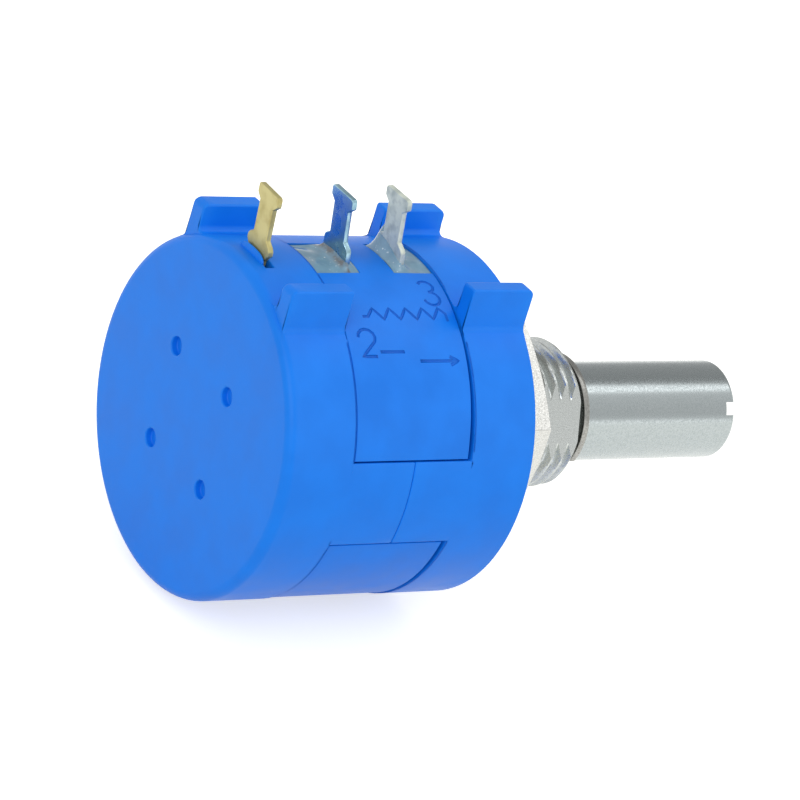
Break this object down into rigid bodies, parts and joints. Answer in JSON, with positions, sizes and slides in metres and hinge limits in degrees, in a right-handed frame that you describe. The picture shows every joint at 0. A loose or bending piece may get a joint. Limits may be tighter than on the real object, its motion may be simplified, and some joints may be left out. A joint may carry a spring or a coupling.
{
  "type": "multiturn potentiometer",
  "caption": "Panel-mount wirewound potentiometer whose shaft turns a screw-led wiper along a helical element, with solder lugs in a row and a threaded bushing.",
  "frame": {"origin": "on the shaft axis, in the mounting face of the front cover that is clamped to the back of a panel", "axes": "+X along the shaft towards the knob end, +Z towards the solder terminals, +Y to the right when looking along +X from behind with the terminals up"},
  "size_m": [0.0401, 0.0222, 0.0265],
  "materials": {
    "blue_cover": "satin moulded",
    "blue_land": "satin moulded",
    "wound_wire": "fine wound wire",
    "tinned": "tinned",
    "gold_lug": "gold plated",
    "tap_metal": "spring metal",
    "potting": "hard potting compound",
    "nickel": "nickel plated",
    "washer_steel": "plated",
    "stainless": "ground satin",
    "thrust_plastic": "plain",
    "rotor_plastic": "plain",
    "ring_metal": "precious-metal plated",
    "rod_steel": "ground",
    "carriage_plastic": "plain"
  },
  "bodies": {
    "housing": {"rear_cover": "blue_cover", "front_cover": "blue_cover", "element_housing": "blue_land", "resistance_element": "wound_wire", "terminal_1": "tinned", "terminal_2": "gold_lug", "terminal_3": "tinned", "start_tap": "tap_metal", "end_tap": "tap_metal", "terminal_seal_1": "potting", "terminal_seal_3": "potting", "slip_ring_brush": "tap_metal", "bushing": "nickel"},
    "rotor": {"shaft": "stainless", "retaining_ring": "washer_steel", "thrust_washer": "thrust_plastic", "rotor_hub": "rotor_plastic", "slip_ring": "ring_metal", "collector_rod": "rod_steel", "guide_rail": "rod_steel"},
    "wiper": {"wiper_carriage": "carriage_plastic", "wiper_contact": "ring_metal"},
    "washer": {"lock_washer": "washer_steel"},
    "nut": {"mounting_nut": "nickel"}
  },
  "joints": [
    {"name": "shaft_turn", "type": "hinge", "parent": "housing", "child": "rotor", "pos_m": [0, 0, 0], "axis": [-1, 0, 0], "range_deg": [0, 3600]},
    {"name": "wiper_travel", "type": "slide", "parent": "rotor", "child": "wiper", "axis": [1, 0, 0], "range_m": [0, 0.01]},
    {"name": "washer_slide", "type": "slide", "parent": "housing", "child": "washer", "axis": [1, 0, 0], "range_m": [0, 0.006]},
    {"name": "nut_turn", "type": "hinge", "parent": "washer", "child": "nut", "pos_m": [0.00224, 0, 0], "axis": [1, 0, 0], "range_deg": [0, 2722]}
  ],
  "couplings": [
    {"joint": "shaft_turn", "follows": "wiper_travel", "rad_per_m": 6283.2},
    {"joint": "nut_turn", "follows": "washer_slide", "rad_per_m": 7915.8}
  ]
}
